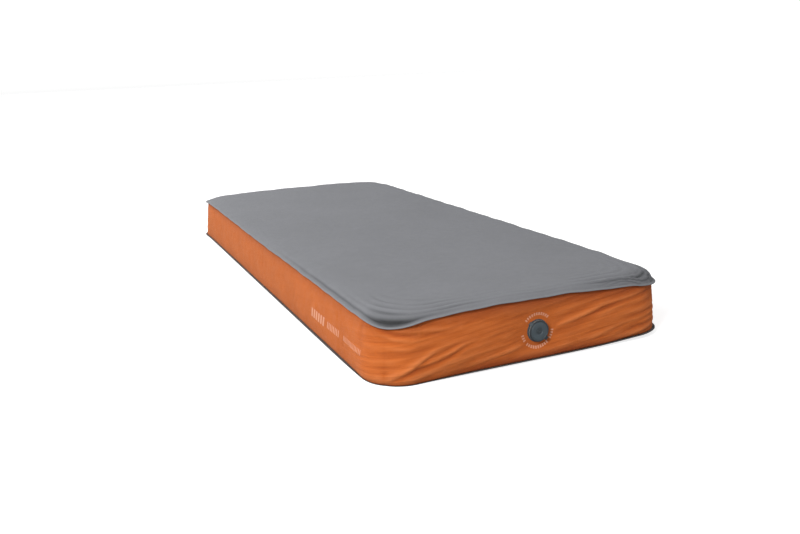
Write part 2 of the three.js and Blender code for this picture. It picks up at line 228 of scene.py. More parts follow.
# ---- the mat's shape
PLAN, OUTWARDS = outline(0, CORNER)
COLUMNS = len(PLAN)
STEP = np.linalg.norm(np.roll(PLAN, -1, 0) - PLAN, axis=1)
ALONG = np.concatenate([[0], np.cumsum(STEP)[:-1]])
AROUND = STEP.sum()
MIDDLE_OF_FOOT = ALONG[np.argmin(np.abs(PLAN[:, 0]) + (PLAN[:, 1] > 0))]


def near_corner(sx, sy, spread):
    """1 at the wall's corner in that direction, fading along the outline."""
    shy = CORNER * (1 - math.sqrt(0.5))
    far = np.hypot(PLAN[:, 0] - sx * (HALF_WIDTH - shy), PLAN[:, 1] - sy * (HALF_LENGTH - shy))
    return bump(far, 0, spread)


FOOT_LEFT = near_corner(-1, -1, 0.12)
FOOT_RIGHT = near_corner(1, -1, 0.12)
HEAD_LEFT = near_corner(-1, 1, 0.10)
HEAD_RIGHT = near_corner(1, 1, 0.10)
AT_END = 1 - np.abs(PLAN[:, 0] / HALF_WIDTH) ** 4
AT_FOOT = AT_END * (PLAN[:, 1] < 0)
AT_LEFT = ramp(-0.2, -0.9, OUTWARDS[:, 0])
AT_RIGHT = ramp(0.2, 0.9, OUTWARDS[:, 0])
FROM_FOOT = PLAN[:, 1] + HALF_LENGTH
# How far the top seam stands out past the wall's plan; the left side leans in.
RIM_SHIFT = -5 * MM * AT_LEFT


def rim_height():
    """Height of the top seam at each column."""
    aside = PLAN[:, 0] + 0.03
    across = np.where(aside > 0, aside / (HALF_WIDTH + 0.03), -aside / (HALF_WIDTH - 0.03))
    foot = (13.5 * (1 - across ** 3.5) - 4.5 * bump(PLAN[:, 0], 0.19, 0.075)) * (FROM_FOOT < 0.5)
    head = (9 + 3 * AT_END) * ramp(0.3, 1.9, FROM_FOOT)
    right = 12 * AT_RIGHT * ramp(0.05, 0.3, FROM_FOOT)
    past_corner = ramp(0.015, 0.085, FROM_FOOT)
    left = 5 * AT_LEFT * ramp(1.1, 0.5, FROM_FOOT) * past_corner
    drop = (6 * FOOT_LEFT + 3.5 * near_corner(-1, -1, 0.06)) * (1 - 0.8 * past_corner)
    drop += 9.5 * FOOT_RIGHT + 7 * HEAD_LEFT + 7 * HEAD_RIGHT
    wobble = 0.6 * waves(ALONG, 3, (0.31, 0.17, 0.09), AROUND)
    return (141 + foot + np.maximum(head, right) + left - drop + wobble) * MM


RIM = rim_height()


def crown_height(points):
    """Height of the top away from its edges."""
    return CROWN + (5 * bump(points[:, 1], -HALF_LENGTH, 0.5) - 1) * MM


LIP_DROOP = 0.25  # how steeply the lip falls outwards
PUFF = 6 * MM  # how far the air pushes the top out over the foot right corner
PUFF_PLACE = 7 * MM  # how far inside the seam it does so most
# How far in from the wall's outline the rings of the top sheet stand, in cm.
TOP_INSETS = [
    -1.0, -0.75, -0.4, 0, 0.3, 0.6, 0.9, 1.2, 1.6, 2.0, 2.4, 2.8, 3.2, 3.6, 4.0, 4.4, 4.9, 5.4,
    5.9, 6.4, 7.0, 7.6, 8.3, 9.1, 10, 11, 12.3, 14, 16, 18.5, 21.5, 25,
]


def top_ring(inset):
    """One ring of the top sheet. A negative inset is out on the welded lip."""
    last = TOP_INSETS[-1] * CM
    inside, beyond = max(inset, 0), max(-inset, 0)
    # The plan's corners widen inwards until the innermost ring ends in half circles.
    radius = CORNER + beyond + (HALF_WIDTH - last - CORNER) * inside / last
    plan, _ = outline(inset, radius)
    run = (17 - 7 * AT_RIGHT - 2.5 * FOOT_RIGHT) * MM
    rise = 1 - np.exp(-inside / run)
    height = RIM + (crown_height(plan) - RIM) * rise - LIP_DROOP * beyond
    puffed = inside / PUFF_PLACE
    puff = PUFF * FOOT_RIGHT * puffed * math.exp(1 - puffed)
    shift = RIM_SHIFT * math.exp(-inside / (60 * MM))
    return np.column_stack([plan + OUTWARDS * (shift + puff)[:, None], height])


def top_wrinkles(points, inset):
    """Small wrinkles of the stretch sheet along its edge, strongest at the foot corners."""
    x, y = points[:, 0], points[:, 1]
    lift = np.zeros(len(points))
    for k, (sx, spread, most) in enumerate(((-1, 0.17, 1.9), (1, 0.16, 2.0))):
        far = np.hypot(x - sx * (HALF_WIDTH - 0.07), (y + HALF_LENGTH - 0.05) * 1.25)
        fade = bump(far, 0, spread) + 0.11 * bump(y, -HALF_LENGTH, 0.14)
        fade *= ramp(0, 0.012, inset) * np.exp(-inset / 0.06)
        wander = 4 * np.sin(x / 0.041 + k) + 3 * np.sin((x + 0.6 * y) / 0.023)
        level = inset / MM + wander * np.clip(inset / 0.03, 0, 1)
        patchy = 0.7 + 0.3 * np.sin((x - y) / 0.031 + inset / 0.017)
        wave = np.sin(level * math.tau / 21) + 0.5 * np.sin(level * math.tau / 12.5 + 1.3)
        lift += most * MM * fade * patchy * wave
    return lift


GROOVE_DEPTH = 1.6 * MM


def lip_groove(points, inset):
    """How deep the sheet is drawn in just inside its lip: at the foot corners and the left side."""
    x, y = points[:, 0], points[:, 1]
    at_left = np.hypot((x + HALF_WIDTH - 0.035) / 0.055, (y + HALF_LENGTH - 0.015) / 0.045)
    groove = bump(at_left, 0, 1) * bump(inset, 0.0055, 0.0065)
    left_side = ramp(-0.15, -0.36, x) * ramp(0.9, 0.3, y + HALF_LENGTH)
    groove += 0.6 * bump(inset, 0.003, 0.0032) * left_side
    at_right = np.hypot((x - HALF_WIDTH + 0.06) / 0.12, (y + HALF_LENGTH - 0.02) / 0.06)
    streaks = np.clip(np.sin(math.tau * (inset / 0.0095 + 0.7 * np.sin(x / 0.023))) + 0.15, 0, 1)
    groove += bump(at_right, 0, 1) * bump(inset, 0.013, 0.013) * (0.2 + 0.8 * streaks)
    return np.clip(groove, 0, 1)


def top_skin():
    """The grey sheet: rings from its lip inwards, then a grid of rungs across the middle."""
    insets = np.array(TOP_INSETS) * CM
    rings = [top_ring(inset) for inset in insets]
    points = np.concatenate(rings)
    faces = ring_faces(len(rings), COLUMNS)
    across, half = 12, COLUMNS // 2
    last = rings[-1]
    first = (len(rings) - 1) * COLUMNS
    k = np.arange(1, half)
    left, right = last[k][:, None], last[COLUMNS - k][:, None]
    middle = left + (right - left) * np.arange(1, across)[:, None] / across
    middle = middle.reshape(-1, 3)
    numbers = len(points) + np.arange(len(middle)).reshape(half - 1, -1)
    rungs = np.column_stack([first + k, numbers, first + COLUMNS - k]).tolist()
    for near, far in zip(rungs, rungs[1:]):
        faces.extend([near[m], far[m], far[m + 1], near[m + 1]] for m in range(across))
    faces.extend([first, rungs[0][m], rungs[0][m + 1]] for m in range(across))
    faces.extend([first + half, rungs[-1][m + 1], rungs[-1][m]] for m in range(across))
    points = np.concatenate([points, middle])
    inset = np.concatenate([np.repeat(insets, COLUMNS), np.full(len(middle), insets[-1])])
    inset = np.maximum(inset, 0)
    lift = top_wrinkles(points, inset)
    groove = lip_groove(points, inset)
    points[:, 2] += lift - GROOVE_DEPTH * groove
    item = mesh_object("top_skin", points, faces, top_fabric())
    edge = np.zeros(len(points))
    edge[:2 * COLUMNS] = 1
    edge[2 * COLUMNS:3 * COLUMNS] = 0.5
    mark(item, "weld_edge", edge)
    # The groove's depth also sets painted shade in the top fabric.
    mark(item, "groove", groove)
    mark(item, "crease", np.clip(lift / (1.6 * MM), -1, 1))
    return with_modifier(item, "SOLIDIFY", thickness=FABRIC, offset=-1)


# ---- the wall
WALL_ROWS = 42
WALL_SHARE = (np.arange(WALL_ROWS + 1) / WALL_ROWS)[:, None]  # 0 at the base seam, 1 at the top
FLANGE = 33 * MM  # radius inside which the neck's flange holds the wall to its plan
HOLD_END = 90 * MM  # where that hold has faded out
PINNED = 40 * MM  # radius inside which the cloth is pinned
NECK_HOLE = 24.3  # its radius in mm
BASE_SEAM = 5 * MM
# The pull of the wall lifts the base seam at the foot right corner; at the left one it lies low.
LIFT = (9 * near_corner(1, -1, 0.13) - 3.7 * FOOT_LEFT) * MM


def from_valve(x, y, z):
    """How far places are from the valve's axis; infinite in the head half of the mat."""
    return np.where(y < 0, np.hypot(x - VALVE.x, z - VALVE.z), np.inf)


def tuck():
    """How far the base seam is turned in under the wall at each column."""
    return (2 * AT_FOOT + 7 * FOOT_LEFT + 1) * MM


def flare():
    """How far the foot of the wall stands out past its plan."""
    ends = ramp(0.2, 0.9, np.abs(OUTWARDS[:, 1]))
    return (8 * np.maximum(AT_LEFT, ends) + 7 * FOOT_LEFT + FOOT_RIGHT + 4 * HEAD_LEFT) * MM


def wall_grid():
    """Wall points by row from the base seam up, before the cloth is let go."""
    turned_in = np.clip(1 - WALL_SHARE / 0.16, 0, 1) ** 2.4 * tuck()
    bulge = np.sin(math.pi * WALL_SHARE) * 1.5 * MM
    lean = RIM_SHIFT * WALL_SHARE + flare() * (1 - WALL_SHARE)
    seam = BASE_SEAM + LIFT
    height = seam + WALL_SHARE * (RIM - FABRIC - seam)
    # The neck's flange holds the wall to its plan round the valve.
    near = ramp(HOLD_END, FLANGE, from_valve(*PLAN.T, height))
    held = near * ramp(0, 0.25, WALL_SHARE)
    out = (bulge + lean - turned_in) * (1 - held) + 0.3 * MM * held + fold_field(height)
    return np.concatenate([PLAN + OUTWARDS * out[..., None], height[..., None]], -1)


# Tension folds of the wall round an end, in mm: how far each point of a fold stands along the
# wall from the middle of the end and above the floor, then the fold's height and width.
FOLDS = [
    ([(-384, 6), (-335, 25), (-300, 41), (-264, 50), (-227, 59), (-190, 71), (-140, 83)], 3.6, 3.6),
    ([(-392, 14), (-324, 36), (-263, 66), (-214, 80), (-165, 92)], 2.8, 3.6),
    ([(-345, 40), (-290, 58), (-240, 78), (-200, 86)], 1.5, 3.0),
    ([(-215, 58), (-139, 62), (-88, 70), (-30, 82)], 2.0, 4),
    ([(-330, 12), (-241, 17), (-166, 24), (-88, 36), (30, 47)], 2.8, 5),
    ([(-250, 34), (-180, 42), (-110, 50), (-50, 58)], 1.5, 4),
    ([(-360, 128), (-309, 120), (-238, 116), (-150, 124)], 2.2, 3.4),
    ([(-405, 134), (-372, 122), (-335, 112), (-290, 108)], -2.2, 2.6),
    ([(-372, 112), (-310, 100), (-240, 102), (-170, 112)], 1.6, 3.4),
    ([(-385, 90), (-320, 84), (-250, 90), (-190, 100)], 1.3, 3.2),
    ([(48, 66), (80, 76), (129, 89), (186, 105), (258, 114), (330, 127), (385, 132)], 3.6, 4.0),
    ([(120, 74), (186, 84), (250, 96), (340, 104)], 2.0, 3.8),
    ([(60, 20), (159, 34), (246, 52), (320, 62), (400, 66)], 2.8, 4.2),
    ([(170, 52), (240, 68), (330, 80), (400, 82)], 1.8, 3.8),
    ([(90, 2), (188, 8), (277, 20), (340, 34), (410, 44)], 2.6, 4.4),
    ([(210, 30), (290, 44), (360, 52), (420, 54)], 1.6, 3.4),
    ([(150, 122), (220, 128), (300, 138), (360, 139)], 1.5, 3.4),
    ([(-120, 118), (-40, 126), (50, 132), (130, 138)], 1.4, 5),
]
# Fields of fine parallel wrinkles, in mm: middle, half sizes, rise along the wall, spacing, height.
WRINKLES = [
    ((-262, 122), (120, 20), -0.02, 8.5, 0.65),
    ((-335, 72), (85, 40), 0.06, 11, 0.6),
    ((-110, 66), (130, 42), 0.2, 9.5, 0.5),
    ((235, 42), (170, 34), 0.17, 9.5, 0.75),
    ((250, 128), (120, 18), 0.05, 8.5, 0.6),
    ((-120, 20), (160, 20), 0.1, 9.5, 0.5),
    ((0, 70), (420, 80), 0.14, 31, 1.0),
]


def fold_height(run, height):
    """Height of the folds over the wall, both places in mm."""
    total = np.zeros_like(run)
    for corners, most, width in FOLDS:
        corners = np.array(corners, float)
        length = np.concatenate([[0], np.cumsum(np.hypot(*np.diff(corners, axis=0).T))])
        x = corners[:, 0]
        share = np.interp(run, x, length / length[-1], left=-1, right=-1)
        slope = np.gradient(corners[:, 1], x)
        above = height - np.interp(run, x, corners[:, 1]) - 1.2 * np.sin(run / 21 + most)
        above /= np.sqrt(1 + np.interp(run, x, slope) ** 2)
        size = width * (0.8 + 0.5 * np.sin(math.pi * np.clip(share, 0, 1)))
        crest = bump(above, 0, size * np.where(above > 0, 2.0, 0.8))
        trough = bump(above, -1.8 * size, size)
        ends = np.where(share < 0, 0, np.sin(math.pi * np.clip(share, 0, 1)) ** 0.6)
        total += most * ends * (crest - 0.45 * trough)
    for k, (middle, half, rise, spacing, most) in enumerate(WRINKLES):
        inside = bump(run, middle[0], half[0]) * bump(height, middle[1], half[1])
        wander = 3.2 * np.sin(run / 47 + k) + 1.5 * np.sin(run / 17 + 2 * k + height / 25)
        level = height - rise * run + wander
        patchy = 0.65 + 0.35 * np.sin(run / 29 + 3 * k + height / 9) * np.sin(run / 67 - height / 14 + k)
        wave = np.sin(level * math.tau / spacing) + 0.35 * np.sin(level * 4.6 * math.pi / spacing + k)
        total += most * inside * patchy * wave
    return total


def fold_field(height):
    """Outward folds of the wall, by row and column: strong at the ends, faint along the sides."""
    from_foot = (ALONG - MIDDLE_OF_FOOT) * np.ones_like(height)
    from_head = np.where(ALONG > AROUND / 2, ALONG - AROUND, ALONG) * np.ones_like(height)
    mm = height / MM
    folds = fold_height(from_foot / MM, mm) + 0.8 * fold_height(-from_head / MM, mm)
    side = AT_LEFT + AT_RIGHT
    along = ALONG / MM
    faint = np.sin((mm - 0.05 * along + 5 * np.sin(along / 83)) / 5.1) * np.sin(along / 61 + mm / 40)
    broad = np.sin(along / 73 + 0.8 * np.sin(along / 37)) * np.sin(math.pi * np.clip(mm / 140, 0, 1))
    folds += side * (0.5 * faint + 1.3 * broad)
    seam = ramp(0, 7, mm - BASE_SEAM / MM) * ramp(0, 9, RIM / MM - mm)
    calm = ramp(38 * MM, 62 * MM, from_valve(*PLAN.T, height))
    return folds * MM * (0.12 + 0.88 * seam) * calm


def shear_of_wall():
    """How far the top seam is pulled along past the wall's own cut, at each column."""
    foot = bump(PLAN[:, 1], -HALF_LENGTH, 0.30)
    head = bump(PLAN[:, 1], HALF_LENGTH, 0.30)
    return (1.5 + 6.5 * foot + 4 * head) * MM


def cut_shape(grid):
    """The wall as it was cut: a little taller, and not sheared along the seam."""
    back = shear_of_wall() * WALL_SHARE
    tangent = np.column_stack([-OUTWARDS[:, 1], OUTWARDS[:, 0]])
    cut = grid.copy()
    cut[..., :2] -= tangent * back[..., None]
    cut[..., 2] *= 1.006
    return cut


def wall_skin():
    """The orange wall with its hole for the valve, and its outer surface by row and column."""
    grid = wall_grid()
    faces = ring_faces(WALL_ROWS + 1, COLUMNS)
    item = mesh_object("wall_skin", grid.reshape(-1, 3), faces, wall_fabric())
    settle_wall(item, grid)
    surface = mark_wall(item)
    with_modifier(item, "SOLIDIFY", thickness=FABRIC, offset=-1)
    cut_round(item, NECK_HOLE, 20)
    mend_along(item)
    return item, surface


def mend_along(item):
    """Gives the points of the cut edge round the valve their length along the wall."""
    along = item.data.attributes["along"].data
    places = read_points(item.data)
    for k in np.flatnonzero(from_valve(*places.T) < PINNED):
        along[int(k)].value = MIDDLE_OF_FOOT + places[k, 0]


def cut_round(item, radius, depth):
    """Cuts a round hole into the item from outside the wall. The sizes are in mm."""
    turn = np.linspace(0, math.tau, 96, endpoint=False)
    x, y = radius * np.cos(turn), radius * np.sin(turn)
    ends = [np.column_stack([x, y, np.full(len(turn), height)]) for height in (20, -depth)]
    cutter = tube("cutter", ends, item.data.materials[0])
    with_modifier(item, "BOOLEAN", operation="DIFFERENCE", solver="EXACT", object=cutter)
    bpy.data.objects.remove(cutter)


def smoothed(field, rows, columns):
    """A running mean over the wall's rows and, closing on itself, its columns."""
    padded = np.pad(field, ((rows, rows), (0, 0)), mode="edge")
    field = sum(padded[k:k + len(field)] for k in range(2 * rows + 1)) / (2 * rows + 1)
    return sum(np.roll(field, k, 1) for k in range(-columns, columns + 1)) / (2 * columns + 1)


def mark(item, name, values):
    attribute = item.data.attributes.new(name, "FLOAT", "POINT")
    attribute.data.foreach_set("value", np.asarray(values, np.float32).ravel())


def mark_wall(item):
    """Marks crests and hollows, the length along the wall, its shaded edges and its tension."""
    places = read_points(item.data).reshape(WALL_ROWS + 1, COLUMNS, 3)
    out = ((places[..., :2] - PLAN) * OUTWARDS).sum(-1)
    crease = smoothed(out, 1, 0) - smoothed(smoothed(out, 3, 3), 3, 3)
    mark(item, "crease", np.clip(crease / (1.6 * MM), -1, 1))
    mark(item, "along", np.repeat(ALONG[None], WALL_ROWS + 1, 0))
    # Painted shade: under the top lip all round and near the base seam all round, both stronger at the
    # foot end.
    under_lip = AT_FOOT * ramp(-0.30, -0.12, PLAN[:, 0])
    above_base = under_lip * ramp(0.36, 0.2, PLAN[:, 0])
    dark = 0.8 * above_base * ramp(0.17, 0.02, WALL_SHARE)
    dark = np.maximum(dark, 0.22 * ramp(0.3, 0, WALL_SHARE))
    lip_shade = (0.34 + 0.36 * under_lip) * ramp(0.72, 0.95, WALL_SHARE)
    mark(item, "under", np.maximum(dark, lip_shade))
    tension = 0.25 + 0.75 * bump(np.abs(PLAN[:, 1]), HALF_LENGTH, 0.16)
    calm = 0.2 + 0.8 * ramp(26 * MM, 70 * MM, from_valve(*places.T).T)
    mark(item, "tension", tension * calm)
    return places


def join_tape(surface):
    """The tape over the wall strip's butt join, in the middle of the head end."""
    low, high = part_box("wall_join_tape")
    half = round((high.x - low.x) / 2 / STEP[0])
    picked = np.arange(-half, half + 1) % COLUMNS
    rows = np.arange(2, WALL_ROWS - 1)
    points = surface[rows][:, picked] + np.append(OUTWARDS[0], 0) * 0.55 * MM
    count = len(picked)
    faces = [
        [r * count + c, r * count + c + 1, (r + 1) * count + c + 1, (r + 1) * count + c]
        for r in range(len(rows) - 1) for c in range(count - 1)
    ]
    item = mesh_object("join_tape", points.reshape(-1, 3), faces, tape_material())
    return with_modifier(item, "SOLIDIFY", thickness=0.45 * MM, offset=-1)


CLOTH_FRAMES = 24
MOST_MOVED = 12 * MM  # the cloth may carry no point further than this


def settle_wall(item, grid):
    """Lets the sheared wall strip buckle into its tension folds under the air's pressure."""
    item.shape_key_add(name="Basis")
    cut = item.shape_key_add(name="cut")
    cut.data.foreach_set("co", cut_shape(grid).astype(np.float32).ravel())
    pins = item.vertex_groups.new(name="pins")
    flat = grid.reshape(-1, 3)
    held = from_valve(*grid.T).T < PINNED
    held[[0, -1]] = True
    pins.add(np.flatnonzero(held).tolist(), 1.0, "REPLACE")
    modifier = item.modifiers.new("cloth", "CLOTH")
    settings = modifier.settings
    choices = {
        "quality": 6, "mass": 0.1, "tension_stiffness": 60, "compression_stiffness": 60,
        "shear_stiffness": 30, "bending_stiffness": 0.05, "air_damping": 2,
        "vertex_group_mass": "pins", "pin_stiffness": 1, "rest_shape_key": cut,
        "use_pressure": True, "uniform_pressure_force": 1.5,
    }
    for key, value in choices.items():
        setattr(settings, key, value)
    settings.effector_weights.gravity = 0
    modifier.collision_settings.use_collision = False
    modifier.point_cache.frame_start = 1
    modifier.point_cache.frame_end = CLOTH_FRAMES
    scene = bpy.context.scene
    for number in range(1, CLOTH_FRAMES + 1):
        scene.frame_set(number)
    depsgraph = bpy.context.evaluated_depsgraph_get()
    moved = read_points(item.evaluated_get(depsgraph).data) - flat
    far = np.linalg.norm(moved, axis=1, keepdims=True)
    settled = flat + moved * np.minimum(1, MOST_MOVED / np.maximum(far, 1e-9))
    item.modifiers.clear()
    item.shape_key_clear()
    item.data.vertices.foreach_set("co", settled.astype(np.float32).ravel())
    item.data.update()
    scene.frame_set(1)


# ---- base and foam
def base_skin():
    """The dark base sheet: flat on the floor, turned up to the base seam at its edge."""
    insets = [-7, -4, 0, 4, 8, 13, 19, 30]
    heights = [4.6, 4.2, 3.2, 2.0, 1.0, 0.3, 0, 0]
    rings = []
    for inset, height in zip(insets, heights):
        plan, normals = outline(inset * MM, CORNER - inset * MM)
        plan = plan + normals * (flare() - tuck())[:, None] * math.exp(-max(inset, 0) / 20)
        plan = plan - normals * (max(-inset, 0) * 0.95 * MM * FOOT_LEFT)[:, None]
        lift = LIFT * math.exp(-max(inset, 0) / 10)
        rings.append(np.column_stack([plan, np.maximum(height * MM + lift, 0) + 0.05 * MM]))
    points = np.concatenate(rings)
    faces = [list(reversed(face)) for face in ring_faces(len(rings), COLUMNS)]
    first = (len(rings) - 1) * COLUMNS
    faces.append(list(reversed(range(first, first + COLUMNS))))
    item = mesh_object("base_skin", points, faces, base_fabric())
    return with_modifier(item, "SOLIDIFY", thickness=FABRIC, offset=-1)


def foam_block():
    """The foam inside the skins, with a round pocket behind the valve."""
    levels = [(24, 3), (17, 8), (14, 30), (14, 80), (15, 118), (20, 132), (30, 139)]
    crown = [(60, 145), (120, 147), (200, 148), (250, 148)]
    rings = []
    for inset, height in levels + crown:
        radius = CORNER + max(inset - 30, 0) * 0.2 * MM
        plan, _ = outline(inset * MM, radius)
        rim = (RIM - np.max(RIM)) * ramp(80, 132, height) * np.exp(-inset / 90)
        rings.append(np.column_stack([plan, np.full(COLUMNS, height * MM) + rim * 0.8]))
    faces = ring_faces(len(rings), COLUMNS)
    first = (len(rings) - 1) * COLUMNS
    faces.append(list(range(first, first + COLUMNS)))
    faces.append(list(reversed(range(COLUMNS))))
    block = mesh_object("foam_block", np.concatenate(rings), faces, foam_material())
    cut_round(block, 45, 30)
    block.data.set_sharp_from_angle(angle=math.radians(40))
    return block


# ---- materials
class Nodes:
    """A node tree, with short calls for the nodes that the world and the materials share."""

    def __init__(self, tree):
        self.tree = tree

    def feed(self, socket, value):
        """Gives a socket its value, or links it to the output that it comes from."""
        if isinstance(value, bpy.types.NodeSocket):
            self.tree.links.new(value, socket)
        else:
            socket.default_value = value

    def add(self, kind, values=None, **settings):
        node = self.tree.nodes.new("ShaderNode" + kind)
        for key, value in settings.items():
            setattr(node, key, value)
        for key, value in (values or {}).items():
            self.feed(node.inputs[key], value)
        return node

    def math(self, operation, *values, clamp=False):
        values = dict(enumerate(values))
        return self.add("Math", values, operation=operation, use_clamp=clamp).outputs[0]

    def remap(self, value, source, target, **settings):
        names = ("Value", "From Min", "From Max", "To Min", "To Max")
        values = dict(zip(names, (value, *source, *target)))
        return self.add("MapRange", values, **settings).outputs["Result"]


class Shader(Nodes):
    """A material: its nodes and its surface."""

    def __init__(self, name, roughness):
        self.material = bpy.data.materials.new(name)
        self.material.use_nodes = True
        super().__init__(self.material.node_tree)
        self.surface = self.tree.nodes["Principled BSDF"].inputs
        self.put("Roughness", roughness)
        self.place = self.add("TexCoord").outputs["Object"]
        self.x, self.y, self.z = self.add("SeparateXYZ", {0: self.place}).outputs

    def noise(self, scale, detail=2, low=0, high=1):
        """Noise over the surface, its middle range stretched to run from low to high."""
        values = {"Vector": self.place, "Scale": scale, "Detail": detail}
        return self.remap(self.add("TexNoise", values).outputs["Fac"], (0.3, 0.7), (low, high))

    def attribute(self, name):
        return self.add("Attribute", attribute_name=name).outputs["Fac"]

    def mix(self, share, first, second):
        values = {0: share}
        for key, color in ((6, first), (7, second)):
            values[key] = (*color, 1) if isinstance(color, tuple) else color
        return self.add("Mix", values, data_type="RGBA").outputs[2]

    def ripple(self, value, spacing, shift=0):
        """A sine along value, one wave for each spacing."""
        return self.math("SINE", self.math("MULTIPLY_ADD", value, math.tau / spacing, shift))

    def product(self, *factors):
        """The product of the factors. Of masks, it is where all of them are."""
        return reduce(partial(self.math, "MULTIPLY"), factors)

    def either(self, *masks):
        return reduce(partial(self.math, "MAXIMUM"), masks)

    def between(self, value, low, high):
        return self.product(self.math("GREATER_THAN", value, low), self.math("LESS_THAN", value, high))

    def put(self, name, value):
        self.feed(self.surface[name], value)

    def color(self, socket):
        self.put("Base Color", socket)

    def rough(self, low, high, scale):
        self.put("Roughness", self.noise(scale, 4, low, high))

    def relief(self, height, distance, strength=1):
        values = {"Height": height, "Distance": distance, "Strength": strength}
        self.put("Normal", self.add("Bump", values).outputs["Normal"])

    def sheen(self, weight, roughness, tint):
        for name, value in (("Weight", weight), ("Roughness", roughness), ("Tint", (*tint, 1))):
            self.put("Sheen " + name, value)


def shade(color, factor):
    return tuple(channel * factor for channel in color)


def floor_material():
    look = Shader("floor_white", 0.95)
    look.color(look.mix(look.noise(0.7), (0.5, 0.5, 0.5), (0.52, 0.52, 0.52)))
    look.put("Specular IOR Level", 0)
    look.put("Emission Color", (1, 1, 1, 1))
    look.put("Emission Strength", 0.75)
    return look.material


def knit(look, across, along, pitch):
    """Height of a fine knit: rows of small loops that lean to and fro."""
    lean = look.product(look.ripple(along, pitch * 1.3), pitch * 0.25)
    rows = look.ripple(look.math("ADD", across, lean), pitch)
    loops = look.ripple(along, pitch * 1.3, 1.2)
    return look.math("MULTIPLY_ADD", look.product(rows, loops), 0.5, 0.5)


def top_fabric():
    look = Shader("top_stretch_fabric", 0.86)
    grey = (0.167, 0.170, 0.181)
    loops = knit(look, look.x, look.y, 1.1 * MM)
    mottle = look.mix(look.noise(5, 3), shade(grey, 0.95), shade(grey, 1.04))
    melange = look.mix(look.noise(650, 2, 0, 0.5), mottle, shade(grey, 0.78))
    # Painted shade: the pits between the knit loops are darkened.
    shaded_pits = look.mix(look.math("MULTIPLY_ADD", loops, -0.16, 0.16), melange, shade(grey, 0.55))
    # Painted highlight on the crests of the wrinkles and painted shade in their hollows.
    wear_and_crest_light = look.math("MULTIPLY", look.attribute("crease"), 1, clamp=True)
    crest = look.mix(look.product(wear_and_crest_light, 0.35), shaded_pits, shade(grey, 1.35))
    hollow = look.math("MULTIPLY", look.attribute("crease"), -0.8, clamp=True)
    shaded = look.mix(hollow, crest, shade(grey, 0.45))
    # Painted shade in the groove just inside the lip.
    groove_shaded = look.mix(look.attribute("groove"), shaded, shade(grey, 0.14))
    look.color(look.mix(look.attribute("weld_edge"), groove_shaded, shade(grey, 1.05)))
    look.rough(0.78, 0.95, 60)
    look.relief(loops, 0.25 * MM, 0.7)
    look.sheen(0.07, 0.5, (0.85, 0.88, 0.95))
    look.put("Specular IOR Level", 0.25)
    return look.material


def ring_print(look):
    """Short ticks in broken arcs round the valve."""
    right = look.math("SUBTRACT", look.x, VALVE.x)
    above = look.math("SUBTRACT", look.z, VALVE.z)
    squares = look.math("ADD", look.product(right, right), look.product(above, above))
    far = look.math("SQRT", squares)
    angle = look.math("ARCTAN2", above, right)
    arcs = [(0.746, 2.474), (-0.668, -0.039), (-3.024, -2.552), (-2.395, -0.825)]
    inside = look.either(*(look.between(angle, low, high) for low, high in arcs))
    ticks = look.math("GREATER_THAN", look.ripple(angle, math.tau / 40), -0.2)
    wide = look.between(far, 36.5 * MM, 43.5 * MM)
    foot = look.math("LESS_THAN", look.y, -HALF_LENGTH + 0.02)
    return look.product(inside, ticks, wide, foot)


def side_print(look):
    """Three groups of leaning bars along the left side, finer towards the foot."""
    groups = [
        # ends along the side, heights, spacing, level of the sine above which a bar is printed
        ((-0.6336, -0.5226), (47, 71), 18.5, -0.35),
        ((-0.7398, -0.6518), (50, 68), 11, 0.1),
        ((-0.8861, -0.7671), (52, 66), 8.5, 0.35),
    ]
    lean = look.math("MULTIPLY_ADD", look.z, 0.22, look.y)
    marks = []
    for (near, far), (low, high), spacing, threshold in groups:
        bars = look.math("GREATER_THAN", look.ripple(lean, spacing * MM), threshold)
        level = look.between(look.z, low * MM, high * MM)
        marks.append(look.product(bars, level, look.between(lean, near, far)))
    left = look.math("LESS_THAN", look.x, -HALF_WIDTH + 0.03)
    return look.product(look.either(*marks), left)


